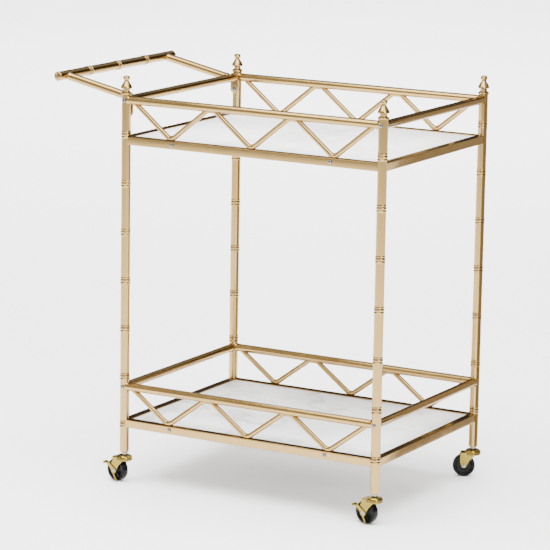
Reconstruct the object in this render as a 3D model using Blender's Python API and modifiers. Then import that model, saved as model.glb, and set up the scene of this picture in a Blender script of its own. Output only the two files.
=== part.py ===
"""Bar cart on wheels: two marble-topped trays between four bamboo-look posts.

Long zigzag galleries close the two long sides of each tray, plain rails close the ends, a sloping
handle stands out from the left end, and four swivel casters carry it. The front casters have brakes.

Frame: X along the cart (handle at -X), Y from front to back, Z up, with the floor at Z = 0.
The origin is the middle of the whole cart's footprint. Metres throughout.
"""
import bmesh
import bpy
from math import cos, pi, radians, sin, tan
from mathutils import Matrix, Vector

# ---- driving dimensions -------------------------------------------------------------------------
GAP = 0.0003                      # clearance between pieces that touch

POST_SPAN_X = 0.560               # between post axes along the cart
POST_SPAN_Y = 0.420               # between post axes from front to back
POST_RADIUS = 0.009
POST_WALL = 0.001
POST_BOTTOM = 0.0622
POST_TOP = 0.772

RING_COUNT = 7                    # bamboo joints on each post
RING_PITCH = 0.096
RING_FIRST_Z = 0.119
RING_RADIUS = 0.010
RING_HEIGHT = 0.012
RING_CHAMFER = 0.0012
RING_RISE = {"front_left": 0.0, "front_right": 0.008, "back_right": 0.018, "back_left": -0.002}

BALL_RADIUS = 0.0070              # finials; their heights are above the post's top
BALL_HALF_HEIGHT = 0.0046
BALL_Z = 0.0328
BELL_RADIUS = 0.0113
BELL_RIM = 0.0018
BELL_Z = 0.014
FINIAL_NECK = 0.007
COLLAR_RADIUS = 0.0108
COLLAR_HEIGHT = 0.0052
SPIGOT_RADIUS = 0.0076
SPIGOT_DEPTH = 0.006

RAIL_RADIUS = 0.008
RAIL_WALL = 0.0012
RAIL_BORE = RAIL_RADIUS - RAIL_WALL
ROD_RADIUS = 0.0048
RAIL_Z = {"upper": 0.762, "lower": 0.1945}

TRAY_BOTTOM = {"upper": 0.6755, "lower": 0.1125}
TRAY_TUBE = 0.016                 # square tube of the tray frames
TRAY_WALL = 0.0012
TRAY_STANDOUT = 0.006             # how far the frame's face stands outside the post axes
LEDGE_WIDTH = 0.008
LEDGE_LOW = 0.0035                # the ledge's underside and top, above the frame's bottom
LEDGE_TOP = 0.005
PANEL_THICKNESS = 0.0092
PANEL_EDGE_GAP = 0.0015

ZIGZAG_HALF_STEP = 0.089          # from the bottom of a V to the next top
ZIGZAG_TOP_FLAT = 0.018
ZIGZAG_BOTTOM_FLAT = 0.010
ZIGZAG_TOP_DROP = 0.0056          # the top flats are let into the rail, this far below its axis
ZIGZAG_BEND = 0.006

HANDLE_REACH = 0.158              # from the left posts to the grip
HANDLE_RISE = 0.033
HANDLE_INSET = 0.027              # the arms stand this far inside the post axes
GRIP_RADIUS = 0.009
GRIP_WALL = 0.0012
GRIP_LENGTH = 0.419
GRIP_RING_STEP = 0.103
CAP_RADIUS = 0.0092
CAP_THICKNESS = 0.004
CAP_PLUG = 0.010                  # how far a cap's plug runs into the grip
TAB_THICKNESS = 0.003
TAB_HALF_WIDTH = 0.0085
TAB_DROP = 0.033
TAB_SCREW_DROP = 0.024

WHEEL_RADIUS = 0.0225
WHEEL_WIDTH = 0.0155
WHEEL_ROOM = 0.0015               # the fork clears the wheel by this much
TYRE_SHOULDER = 0.0022
CASTER_TRAIL = 0.0175             # from the swivel axis back to the axle
STEM_SPIGOT_RADIUS = 0.0074
STEM_SPIGOT = 0.022
STEM_FLANGE_RADIUS = 0.0082
STEM_FLANGE = 0.0010
STEM_NECK_RADIUS = 0.0058
CROWN_RADIUS = 0.0165
CROWN_TOP = 0.0560
CROWN_BOTTOM = 0.0440
FORK_HALF_WIDTH = 0.010
FORK_SHEET = 0.0015
FORK_PLATE_TOP = 0.0500
SLOT_REACH = 0.060
KING_PIN_RADIUS = 0.0035
AXLE_RADIUS = 0.0025
RIVET_RADIUS = 0.004
RIVET_HEIGHT = 0.0014
BRAKE_SHEET = 0.0016
BRAKE_BOSS = 0.005
BRAKE_TAB_ANGLE = radians(37)
BRAKE_TAB_REACH = 0.0245
BRAKE_TAB_HALF = 0.0035
BRAKE_TAB_STANDOUT = 0.008
BRAKE_ROLL_RADIUS = 0.0026        # the tab's end is rolled, and the foot presses on the roll
BRAKE_FOOT_ANGLE = radians(-112)
BRAKE_FOOT_REACH = 0.0205
BRAKE_FOOT_HALF = 0.0035
BRAKE_FOOT_STANDOUT = 0.006
BRAKE_FLANGE_START = 0.006        # the foot's flange runs from here to its end
BRAKE_WAIST = 0.0075              # the plate's edge passes this far from the axle
SWIVEL_DEGREES = {"front_left": 170, "front_right": 170, "back_right": 210, "back_left": 190}
BRAKED = ("front_left", "front_right")

SCREW_HEAD_RADIUS = 0.0042
SCREW_HEAD_HEIGHT = 0.0022
POST_SCREW_RADIUS = 0.0024
POST_SCREW_LENGTH = 0.034
TAB_SCREW_RADIUS = 0.002
TAB_SCREW_LENGTH = 0.010
FRAME_SCREW_RADIUS = 0.0018
FRAME_SCREW_LENGTH = 0.011
FRAME_SCREW_X = 0.173
FRAME_SCREW_Z = 0.009
HOLE_CLEARANCE = 0.0004

# ---- sizes that follow from them ----------------------------------------------------------------
CART_X = (HANDLE_REACH + RING_RADIUS - CROWN_RADIUS) / 2     # middle of the posts along X
POSTS = {
    "front_left": Vector((CART_X - POST_SPAN_X / 2, -POST_SPAN_Y / 2, 0)),
    "front_right": Vector((CART_X + POST_SPAN_X / 2, -POST_SPAN_Y / 2, 0)),
    "back_right": Vector((CART_X + POST_SPAN_X / 2, POST_SPAN_Y / 2, 0)),
    "back_left": Vector((CART_X - POST_SPAN_X / 2, POST_SPAN_Y / 2, 0)),
}
SIDES = {"front": -1, "back": 1}
ENDS = {"left": -1, "right": 1}
GRIP_CENTRE = Vector((CART_X - POST_SPAN_X / 2 - HANDLE_REACH, 0, RAIL_Z["upper"] + HANDLE_RISE))
TRAY_OUTER_X = POST_SPAN_X / 2 + TRAY_STANDOUT
TRAY_OUTER_Y = POST_SPAN_Y / 2 + TRAY_STANDOUT
AXIS_TO_Y = (-pi / 2, 0, 0)       # turns a piece built along +Z to lie along +Y

ROUND_POST = 12
ROUND_RAIL = 12
ROUND_SMALL = 8
ROUND_WHEEL = 24
ROUND_CLEARANCE = 24
CUT_OVERRUN = 0.02                # cutters run this far past what they cut
HOLE_REACH = 0.015                # a post's cross holes run this far from its axis
RAIL_ROOM = 0.030                 # length cleared at a post for the gallery rail beside an end rail


# ---- scene, collections and materials -----------------------------------------------------------
for old in list(bpy.data.objects):
    bpy.data.objects.remove(old, do_unlink=True)
PARTS = bpy.data.collections.new("bar_cart")
CUTTERS = bpy.data.collections.new("cutters")
for collection in (PARTS, CUTTERS):
    bpy.context.scene.collection.children.link(collection)


def material(name, colour, roughness, metallic):
    made = bpy.data.materials.new(name)
    made.use_nodes = True
    shader = made.node_tree.nodes["Principled BSDF"]
    shader.inputs["Base Color"].default_value = (*colour, 1)
    shader.inputs["Roughness"].default_value = roughness
    shader.inputs["Metallic"].default_value = metallic
    return made


GOLD = material("champagne_gold", (0.78, 0.60, 0.38), 0.30, 1.0)
BRASS = material("polished_brass", (0.80, 0.62, 0.25), 0.18, 1.0)
STEEL = material("zinc_steel", (0.72, 0.72, 0.70), 0.28, 1.0)
MARBLE = material("white_marble", (0.86, 0.86, 0.85), 0.15, 0.0)
WHEEL_BLACK = material("black_wheel", (0.02, 0.02, 0.02), 0.25, 0.0)


# ---- modelling tools ----------------------------------------------------------------------------
def add_object(name, mesh, finish=None, location=(0, 0, 0), rotation=(0, 0, 0), parent=None):
    """Put a mesh in the cart, or among the hidden cutters when it has no finish."""
    made = bpy.data.objects.new(name, mesh)
    made.location = location
    made.rotation_euler = rotation
    made.parent = parent
    if finish is None:
        made.hide_render = True
        made.display_type = "WIRE"
        CUTTERS.objects.link(made)
    else:
        mesh.materials.append(finish)
        PARTS.objects.link(made)
    return made


def box_mesh(name, low, high):
    """A box between two corners."""
    mesh = bpy.data.meshes.new(name)
    form = bmesh.new()
    bmesh.ops.create_cube(form, size=1)
    size = Matrix.Diagonal([b - a for a, b in zip(low, high)] + [1])
    middle = Matrix.Translation([(a + b) / 2 for a, b in zip(low, high)])
    bmesh.ops.transform(form, verts=form.verts, matrix=middle @ size)
    form.to_mesh(mesh)
    form.free()
    return mesh


def bar_mesh(name, start, end, radius, sides):
    """A straight round bar between two points."""
    start, end = Vector(start), Vector(end)
    along = end - start
    mesh = bpy.data.meshes.new(name)
    form = bmesh.new()
    bmesh.ops.create_cone(form, cap_ends=True, segments=sides, radius1=radius, radius2=radius,
                          depth=along.length)
    turn = Vector((0, 0, 1)).rotation_difference(along).to_matrix().to_4x4()
    bmesh.ops.transform(form, verts=form.verts, matrix=Matrix.Translation((start + end) / 2) @ turn)
    form.to_mesh(mesh)
    form.free()
    mesh.shade_smooth()
    mesh.set_sharp_from_angle(angle=radians(50))
    return mesh


def curve_mesh(name, curve):
    """The closed mesh of a curve: its caps are loose, so they are welded."""
    holder = bpy.data.objects.new(name, curve)
    CUTTERS.objects.link(holder)
    bpy.context.view_layer.update()
    evaluated = holder.evaluated_get(bpy.context.evaluated_depsgraph_get())
    mesh = bpy.data.meshes.new_from_object(evaluated)
    mesh.name = name
    bpy.data.objects.remove(holder, do_unlink=True)
    form = bmesh.new()
    form.from_mesh(mesh)
    bmesh.ops.remove_doubles(form, verts=form.verts, dist=1e-6)
    form.to_mesh(mesh)
    form.free()
    return mesh


def wire_mesh(name, points, radius):
    """A bent rod of round section along a line of points."""
    curve = bpy.data.curves.new(name, "CURVE")
    curve.dimensions = "3D"
    curve.bevel_depth = radius
    curve.bevel_resolution = 2
    curve.use_fill_caps = True
    spline = curve.splines.new("POLY")
    spline.points.add(len(points) - 1)
    for knot, point in zip(spline.points, points):
        knot.co = (*point, 1)
    return curve_mesh(name, curve)


def plate_mesh(name, outline, thickness):
    """A flat plate: an outline in X and Z, with its thickness across Y about Y = 0."""
    curve = bpy.data.curves.new(name, "CURVE")
    curve.dimensions = "2D"
    curve.fill_mode = "BOTH"
    curve.extrude = thickness / 2
    spline = curve.splines.new("POLY")
    spline.use_cyclic_u = True
    spline.points.add(len(outline) - 1)
    for knot, (x, z) in zip(spline.points, outline):
        knot.co = (x, z, 0, 1)
    mesh = curve_mesh(name, curve)
    mesh.transform(Matrix.Rotation(pi / 2, 4, "X"))
    return mesh


def turned(name, profile, sides, finish, location=(0, 0, 0), rotation=(0, 0, 0), parent=None, closed=False):
    """A turned piece: (radius, height) points down its outer side, turned about its own Z."""
    points = [(radius, 0, height) for radius, height in profile]
    links = [(i, i + 1) for i in range(len(points) - 1)]
    if closed:
        links.append((len(points) - 1, 0))
    mesh = bpy.data.meshes.new(name)
    mesh.from_pydata(points, links, [])
    made = add_object(name, mesh, finish, location, rotation, parent)
    screw = made.modifiers.new("turn", "SCREW")
    screw.axis = "Z"
    screw.steps = sides
    screw.render_steps = sides
    screw.use_merge_vertices = True
    screw.merge_threshold = 1e-6
    screw.use_smooth_shade = True
    return made


def shape_with(target, other, operation):
    """Cut a piece with another, or join another to it."""
    step = target.modifiers.new(operation.lower(), "BOOLEAN")
    step.operation = operation
    step.object = other
    step.solver = "EXACT"


def cut(target, *cutters):
    for cutter in cutters:
        shape_with(target, cutter, "DIFFERENCE")


def join(target, *pieces):
    for piece in pieces:
        shape_with(target, piece, "UNION")


def polar(reach, angle, aside=0.0):
    """A point at a reach along a direction in the XZ plane, and a distance to its left."""
    return (reach * cos(angle) - aside * sin(angle), reach * sin(angle) + aside * cos(angle))


def arc(radius, start, end, steps, centre=(0, 0)):
    """Points on an arc in the XZ plane, from one angle to another."""
    angles = [start + (end - start) * i / steps for i in range(steps + 1)]
    return [(centre[0] + radius * cos(a), centre[1] + radius * sin(a)) for a in angles]


def rounded(corners, radius):
    """A line of (x, z) corners with each inner corner replaced by the two ends of its bend."""
    path = [corners[0]]
    for before, here, after in zip(corners, corners[1:], corners[2:]):
        to_before = Vector(before) - Vector(here)
        to_after = Vector(after) - Vector(here)
        turn = pi - to_before.angle(to_after)
        reach = radius * tan(turn / 2)
        path.append(tuple(Vector(here) + to_before.normalized() * reach))
        path.append(tuple(Vector(here) + to_after.normalized() * reach))
    path.append(corners[-1])
    return path


# ---- cutters that several pieces share ----------------------------------------------------------
POST_CLEARANCE = {}               # follows a post's tube, for the rails' coped ends
RING_CLEARANCE = {}               # wide enough for the rings, for the tray frames' corners
for corner, place in POSTS.items():
    low = place + Vector((0, 0, POST_BOTTOM - CUT_OVERRUN))
    high = place + Vector((0, 0, POST_TOP + CUT_OVERRUN))
    tube = bar_mesh(f"post_clearance_{corner}", low, high, POST_RADIUS + GAP, ROUND_CLEARANCE)
    POST_CLEARANCE[corner] = add_object(tube.name, tube)
    wide = bar_mesh(f"ring_clearance_{corner}", low, high, RING_RADIUS + 2 * GAP, ROUND_CLEARANCE)
    RING_CLEARANCE[corner] = add_object(wide.name, wide)


def bar_cutter(name, start, end, radius, sides=ROUND_SMALL, parent=None):
    """A straight round cutter between two points."""
    return add_object(name, bar_mesh(name, start, end, radius, sides), parent=parent)


def hole_along_y(name, x, y_start, y_end, z, radius, parent=None):
    """A round cutter along Y."""
    return bar_cutter(name, (x, y_start, z), (x, y_end, z), radius, parent=parent)


# ---- posts and finials --------------------------------------------------------------------------
def ring_profile(middle, tube_radius, ring_radius):
    """The four points of a bamboo joint, down the outside of a tube."""
    half = RING_HEIGHT / 2
    return [
        (tube_radius, middle + half),
        (ring_radius, middle + half - RING_CHAMFER),
        (ring_radius, middle - half + RING_CHAMFER),
        (tube_radius, middle - half),
    ]


def make_post(corner):
    outside = [(POST_RADIUS, POST_TOP)]
    for number in reversed(range(RING_COUNT)):
        ring_z = RING_FIRST_Z + RING_RISE[corner] + number * RING_PITCH
        outside += ring_profile(ring_z, POST_RADIUS, RING_RADIUS)
    outside.append((POST_RADIUS, POST_BOTTOM))
    bore = POST_RADIUS - POST_WALL
    outside += [(bore, POST_BOTTOM), (bore, POST_TOP)]
    post = turned(f"post_{corner}", outside, ROUND_POST, GOLD, POSTS[corner], closed=True)
    x, y = POSTS[corner].x, POSTS[corner].y
    for level, rail_z in RAIL_Z.items():
        cut(post, hole_along_y(f"post_hole_{level}_{corner}", x, y - HOLE_REACH, y + HOLE_REACH, rail_z,
                               POST_SCREW_RADIUS + HOLE_CLEARANCE))
    if corner.endswith("left"):
        inward = -1 if y > 0 else 1
        cut(post, hole_along_y(f"tab_hole_{corner}", x, y, y + inward * HOLE_REACH,
                               RAIL_Z["upper"] - TAB_SCREW_DROP, TAB_SCREW_RADIUS + HOLE_CLEARANCE))


def make_finial(corner):
    """Collar, neck, flared bell and ball, with a spigot down into the post."""
    angles = (0, pi / 4, pi / 2, 3 * pi / 4)
    profile = [(BALL_RADIUS * sin(a), BALL_Z + BALL_HALF_HEIGHT * cos(a)) for a in angles] + [
        (BELL_RADIUS * 0.38, BALL_Z - BALL_HALF_HEIGHT - GAP),
        (BELL_RADIUS * 0.40, BELL_Z + 0.0130),
        (BELL_RADIUS * 0.62, BELL_Z + 0.0085),
        (BELL_RADIUS * 0.90, BELL_Z + 0.0030),
        (BELL_RADIUS, BELL_Z),
        (BELL_RADIUS, BELL_Z - BELL_RIM),
        (FINIAL_NECK, BELL_Z - BELL_RIM),
        (FINIAL_NECK, COLLAR_HEIGHT + 0.001),
        (COLLAR_RADIUS, COLLAR_HEIGHT - 0.0020),
        (COLLAR_RADIUS, 0.0016),
        (POST_RADIUS, GAP),
        (SPIGOT_RADIUS, GAP),
        (SPIGOT_RADIUS, -SPIGOT_DEPTH),
        (0.0, -SPIGOT_DEPTH),
    ]
    turned(f"finial_{corner}", profile, ROUND_POST, GOLD, POSTS[corner] + Vector((0, 0, POST_TOP)))


# ---- trays --------------------------------------------------------------------------------------
def tray_box(name, half_x, half_y, low_z, high_z):
    """A box centred on the posts."""
    return box_mesh(name, (CART_X - half_x, -half_y, low_z), (CART_X + half_x, half_y, high_z))


def tray_cutter(name, half_x, half_y, low_z, high_z):
    return add_object(name, tray_box(name, half_x, half_y, low_z, high_z))


def make_tray_frame(level):
    """Square tube mitred into a rectangle, with a ledge inside it and a bite out of each corner."""
    name = f"tray_frame_{level}"
    bottom = TRAY_BOTTOM[level]
    top = bottom + TRAY_TUBE
    below, above = bottom - CUT_OVERRUN, top + CUT_OVERRUN
    outer_x, outer_y = TRAY_OUTER_X, TRAY_OUTER_Y
    inner_x, inner_y = outer_x - TRAY_TUBE, outer_y - TRAY_TUBE
    wall = TRAY_WALL
    frame = add_object(name, tray_box(name, outer_x, outer_y, bottom, top), GOLD)
    hollow = tray_cutter(f"{name}_hollow", outer_x - wall, outer_y - wall, bottom + wall, top - wall)
    cut(hollow, tray_cutter(f"{name}_core", inner_x + wall, inner_y + wall, below, above))
    cut(frame,
        tray_cutter(f"{name}_window", inner_x - LEDGE_WIDTH, inner_y - LEDGE_WIDTH, below, above),
        tray_cutter(f"{name}_seat", inner_x, inner_y, bottom + LEDGE_TOP, above),
        tray_cutter(f"{name}_under", inner_x, inner_y, below, bottom + LEDGE_LOW),
        hollow, *RING_CLEARANCE.values())
    for side, sign in SIDES.items():
        inside, outside = sign * (outer_y - 3 * wall), sign * (outer_y + 3 * wall)
        for end, end_sign in ENDS.items():
            x = CART_X + end_sign * FRAME_SCREW_X
            cut(frame, hole_along_y(f"{name}_hole_{side}_{end}", x, inside, outside,
                                    bottom + FRAME_SCREW_Z, FRAME_SCREW_RADIUS + HOLE_CLEARANCE))


def make_panel(level):
    name = f"marble_panel_{level}"
    half_x = TRAY_OUTER_X - TRAY_TUBE - PANEL_EDGE_GAP
    half_y = TRAY_OUTER_Y - TRAY_TUBE - PANEL_EDGE_GAP
    low = TRAY_BOTTOM[level] + LEDGE_TOP + GAP
    add_object(name, tray_box(name, half_x, half_y, low, low + PANEL_THICKNESS), MARBLE)


# ---- galleries and end rails --------------------------------------------------------------------
def zigzag_points(level, y):
    """The bent rod's centre line: flats let into the rail and resting on the tray, joined by slopes."""
    top = RAIL_Z[level] - ZIGZAG_TOP_DROP
    bottom = TRAY_BOTTOM[level] + TRAY_TUBE + GAP + ROD_RADIUS
    corners = []
    for number in range(-3, 4):
        x = CART_X + number * ZIGZAG_HALF_STEP
        z, half_flat = (top, ZIGZAG_TOP_FLAT / 2) if number % 2 else (bottom, ZIGZAG_BOTTOM_FLAT / 2)
        corners += [(x - half_flat, z), (x + half_flat, z)]
    corners[0] = (CART_X - POST_SPAN_X / 2, top)
    corners[-1] = (CART_X + POST_SPAN_X / 2, top)
    return [(x, y, z) for x, z in rounded(corners, ZIGZAG_BEND)]


def make_gallery(level, side):
    """The long top rail, coped to the posts at both ends, with the zigzag rod let into its wall."""
    name = f"gallery_{level}_{side}"
    y, z = SIDES[side] * POST_SPAN_Y / 2, RAIL_Z[level]
    left = Vector((CART_X - POST_SPAN_X / 2, y, z))
    right = Vector((CART_X + POST_SPAN_X / 2, y, z))
    over = Vector((CUT_OVERRUN, 0, 0))
    rod = add_object(f"{name}_rod", wire_mesh(f"{name}_rod", zigzag_points(level, y), ROD_RADIUS))
    mid_wall = RAIL_RADIUS - RAIL_WALL / 2
    cut(rod, bar_cutter(f"{name}_notch", left - over, right + over, mid_wall, ROUND_RAIL))
    rail = add_object(name, bar_mesh(name, left, right, RAIL_RADIUS, ROUND_RAIL), GOLD)
    cut(rail, bar_cutter(f"{name}_bore", left - over, right + over, RAIL_BORE, ROUND_RAIL))
    join(rail, rod)
    cut(rail, POST_CLEARANCE[f"{side}_left"], POST_CLEARANCE[f"{side}_right"])


def make_end_rail(level, end):
    """A plain rail across one end, coped to the posts and clear of the galleries' ends."""
    name = f"end_rail_{level}_{end}"
    x, z = POSTS[f"front_{end}"].x, RAIL_Z[level]
    front, back = Vector((x, -POST_SPAN_Y / 2, z)), Vector((x, POST_SPAN_Y / 2, z))
    over, room = Vector((0, CUT_OVERRUN, 0)), Vector((RAIL_ROOM, 0, 0))
    rail = add_object(name, bar_mesh(name, front, back, RAIL_RADIUS, ROUND_RAIL), GOLD)
    bore = bar_cutter(f"{name}_bore", front - over, back + over, RAIL_BORE, ROUND_RAIL)
    cut(rail, bore, POST_CLEARANCE[f"front_{end}"], POST_CLEARANCE[f"back_{end}"])
    for side, meeting in (("front", front), ("back", back)):
        cut(rail, bar_cutter(f"{name}_room_{side}", meeting - room, meeting + room, RAIL_RADIUS + GAP,
                             ROUND_CLEARANCE))


# ---- handle -------------------------------------------------------------------------------------
def make_handle_frame():
    """The end rail between the left posts, with its two bolt tabs and the two rising arms."""
    x, z = POSTS["front_left"].x, RAIL_Z["upper"]
    tab_outer = POST_SPAN_Y / 2 - POST_RADIUS - GAP
    tab_inner = tab_outer - TAB_THICKNESS
    tab_middle = (tab_inner + tab_outer) / 2
    rail = bar_mesh("handle_frame", (x, -tab_middle, z), (x, tab_middle, z), RAIL_RADIUS, ROUND_RAIL)
    frame = add_object("handle_frame", rail, GOLD)
    outline = [(TAB_HALF_WIDTH, RAIL_RADIUS), (-TAB_HALF_WIDTH, RAIL_RADIUS)]
    outline += arc(TAB_HALF_WIDTH, pi, 2 * pi, 6, (0, TAB_HALF_WIDTH - TAB_DROP))
    bores = [bar_cutter("end_bore", (x, -tab_inner, z), (x, tab_inner, z), RAIL_BORE, ROUND_RAIL)]
    for side, sign in SIDES.items():
        tab = plate_mesh(f"handle_tab_{side}", outline, TAB_THICKNESS)
        join(frame, add_object(tab.name, tab, location=(x, sign * tab_middle, z)))
        arm_y = sign * (POST_SPAN_Y / 2 - HANDLE_INSET)
        start = Vector((x, arm_y, z))
        end = Vector((GRIP_CENTRE.x, arm_y, GRIP_CENTRE.z))
        arm = bar_mesh(f"handle_arm_{side}", start, end, RAIL_RADIUS, ROUND_RAIL)
        join(frame, add_object(arm.name, arm))
        beyond = end + (end - start).normalized() * CUT_OVERRUN
        bores.append(bar_cutter(f"arm_bore_{side}", start, beyond, RAIL_BORE, ROUND_RAIL))
    grip_half = Vector((0, GRIP_LENGTH / 2, 0))
    grip_room = bar_cutter("grip_clearance", GRIP_CENTRE - grip_half, GRIP_CENTRE + grip_half,
                           GRIP_RADIUS + GAP, ROUND_CLEARANCE)
    cut(frame, *bores, grip_room)
    high = (z, POST_SCREW_RADIUS + HOLE_CLEARANCE)
    low = (z - TAB_SCREW_DROP, TAB_SCREW_RADIUS + HOLE_CLEARANCE)
    for side, sign in SIDES.items():
        inside, outside = sign * (tab_inner - TAB_THICKNESS), sign * (tab_outer + TAB_THICKNESS)
        cut(frame,
            hole_along_y(f"handle_hole_high_{side}", x, inside, outside, *high),
            hole_along_y(f"handle_hole_low_{side}", x, inside, outside, *low))


def make_grip():
    """A bamboo-look tube across the arms, with three joints and a cap in each end."""
    half = GRIP_LENGTH / 2
    profile = [(GRIP_RADIUS, half)]
    for number in (1, 0, -1):
        profile += ring_profile(number * GRIP_RING_STEP, GRIP_RADIUS, RING_RADIUS)
    bore = GRIP_RADIUS - GRIP_WALL
    profile += [(GRIP_RADIUS, -half), (bore, -half), (bore, half)]
    turned("handle_grip", profile, ROUND_POST, GOLD, GRIP_CENTRE, AXIS_TO_Y, closed=True)
    cap = [
        (0.0, CAP_THICKNESS),
        (CAP_RADIUS * 0.6, CAP_THICKNESS * 0.9),
        (CAP_RADIUS * 0.9, CAP_THICKNESS * 0.6),
        (CAP_RADIUS, CAP_THICKNESS * 0.2),
        (CAP_RADIUS, GAP),
        (bore - GAP, GAP),
        (bore - GAP, -CAP_PLUG),
        (0.0, -CAP_PLUG),
    ]
    for side, sign in SIDES.items():
        seat = GRIP_CENTRE + Vector((0, sign * half, 0))
        turned(f"grip_cap_{side}", cap, ROUND_POST, GOLD, seat, (-sign * pi / 2, 0, 0))


# ---- casters ------------------------------------------------------------------------------------
def make_stem(corner):
    """The spigot in the post, the neck below it and the king pin riveted under the race."""
    flange_low = POST_BOTTOM - STEM_FLANGE
    race_top, race_low = CROWN_TOP + GAP, CROWN_BOTTOM - GAP
    profile = [
        (0.0, POST_BOTTOM + STEM_SPIGOT),
        (STEM_SPIGOT_RADIUS, POST_BOTTOM + STEM_SPIGOT),
        (STEM_SPIGOT_RADIUS, POST_BOTTOM - GAP),
        (STEM_FLANGE_RADIUS, POST_BOTTOM - GAP),
        (STEM_FLANGE_RADIUS, flange_low),
        (STEM_NECK_RADIUS, flange_low - STEM_FLANGE / 3),
        (STEM_NECK_RADIUS, race_top),
        (KING_PIN_RADIUS, race_top),
        (KING_PIN_RADIUS, race_low),
        (RIVET_RADIUS * 1.3, race_low),
        (RIVET_RADIUS * 1.2, race_low - RIVET_HEIGHT),
        (0.0, race_low - RIVET_HEIGHT),
    ]
    turned(f"caster_stem_{corner}", profile, ROUND_RAIL, STEEL, POSTS[corner])


FORK_SIDE = [                     # the side of a fork, from its pivot (X = 0) back over the wheel
    (-0.004, FORK_PLATE_TOP), (-0.004, 0.0440), (0.0005, 0.0392), (0.0068, 0.0330), (0.0120, 0.0236),
    (0.0135, 0.0196), (0.0175, 0.0172), (0.0222, 0.0192), (0.0247, 0.0260), (0.0262, 0.0340),
    (0.0258, 0.0430), (0.0240, FORK_PLATE_TOP),
]
RACE_PROFILE = [
    (0.0, CROWN_TOP), (0.0090, CROWN_TOP), (0.0124, CROWN_TOP - 0.0010), (0.0152, CROWN_TOP - 0.0034),
    (CROWN_RADIUS, CROWN_TOP - 0.0066), (CROWN_RADIUS, CROWN_BOTTOM + 0.0006),
    (CROWN_RADIUS - 0.0008, CROWN_BOTTOM), (0.0, CROWN_BOTTOM),
]


def make_fork(corner, swivel):
    """A stamped fork: top plate, two legs that taper to the axle, and a domed race."""
    name = f"caster_fork_{corner}"
    fork = add_object(name, plate_mesh(name, FORK_SIDE, FORK_HALF_WIDTH * 2), BRASS, parent=swivel)
    slot_half = FORK_HALF_WIDTH - FORK_SHEET
    slot = box_mesh(f"{name}_slot", (-SLOT_REACH, -slot_half, -CUT_OVERRUN),
                    (SLOT_REACH, slot_half, FORK_PLATE_TOP - FORK_SHEET))
    cut(fork, add_object(slot.name, slot, parent=swivel))
    join(fork, turned(f"{name}_race", RACE_PROFILE, ROUND_RAIL, None, parent=swivel))
    cut(fork,
        bar_cutter(f"{name}_pin_hole", (0, 0, CROWN_BOTTOM - CUT_OVERRUN), (0, 0, CROWN_TOP + CUT_OVERRUN),
                   KING_PIN_RADIUS + GAP, ROUND_RAIL, swivel),
        bar_cutter(f"{name}_wheel_room", (CASTER_TRAIL, -slot_half, WHEEL_RADIUS),
                   (CASTER_TRAIL, slot_half, WHEEL_RADIUS), WHEEL_RADIUS + WHEEL_ROOM, ROUND_WHEEL, swivel),
        hole_along_y(f"{name}_axle_hole", CASTER_TRAIL, -CUT_OVERRUN, CUT_OVERRUN, WHEEL_RADIUS,
                     AXLE_RADIUS + HOLE_CLEARANCE, swivel))


def make_wheel(corner, swivel):
    hub = Vector((CASTER_TRAIL, 0, WHEEL_RADIUS))
    half = WHEEL_WIDTH / 2
    tyre_edge = WHEEL_RADIUS - TYRE_SHOULDER
    bore = AXLE_RADIUS + HOLE_CLEARANCE
    profile = [
        (bore, half),
        (tyre_edge, half),
        (WHEEL_RADIUS, half - TYRE_SHOULDER),
        (WHEEL_RADIUS, -half + TYRE_SHOULDER),
        (tyre_edge, -half),
        (bore, -half),
    ]
    turned(f"caster_wheel_{corner}", profile, ROUND_WHEEL, WHEEL_BLACK, hub, AXIS_TO_Y, swivel, closed=True)


def make_axle(corner, swivel):
    """A rivet through both legs; on the braked casters it also carries the brake lever."""
    hub = Vector((CASTER_TRAIL, 0, WHEEL_RADIUS))
    inner = FORK_HALF_WIDTH + GAP
    outer = inner + (BRAKE_SHEET + GAP if corner in BRAKED else 0)
    profile = [
        (0.0, outer + RIVET_HEIGHT),
        (RIVET_RADIUS * 0.75, outer + RIVET_HEIGHT * 0.7),
        (RIVET_RADIUS, outer),
        (AXLE_RADIUS, outer),
        (AXLE_RADIUS, -inner),
        (RIVET_RADIUS, -inner),
        (RIVET_RADIUS * 0.75, -inner - RIVET_HEIGHT * 0.7),
        (0.0, -inner - RIVET_HEIGHT),
    ]
    turned(f"caster_axle_{corner}", profile, ROUND_RAIL, STEEL, hub, AXIS_TO_Y, swivel)


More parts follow.
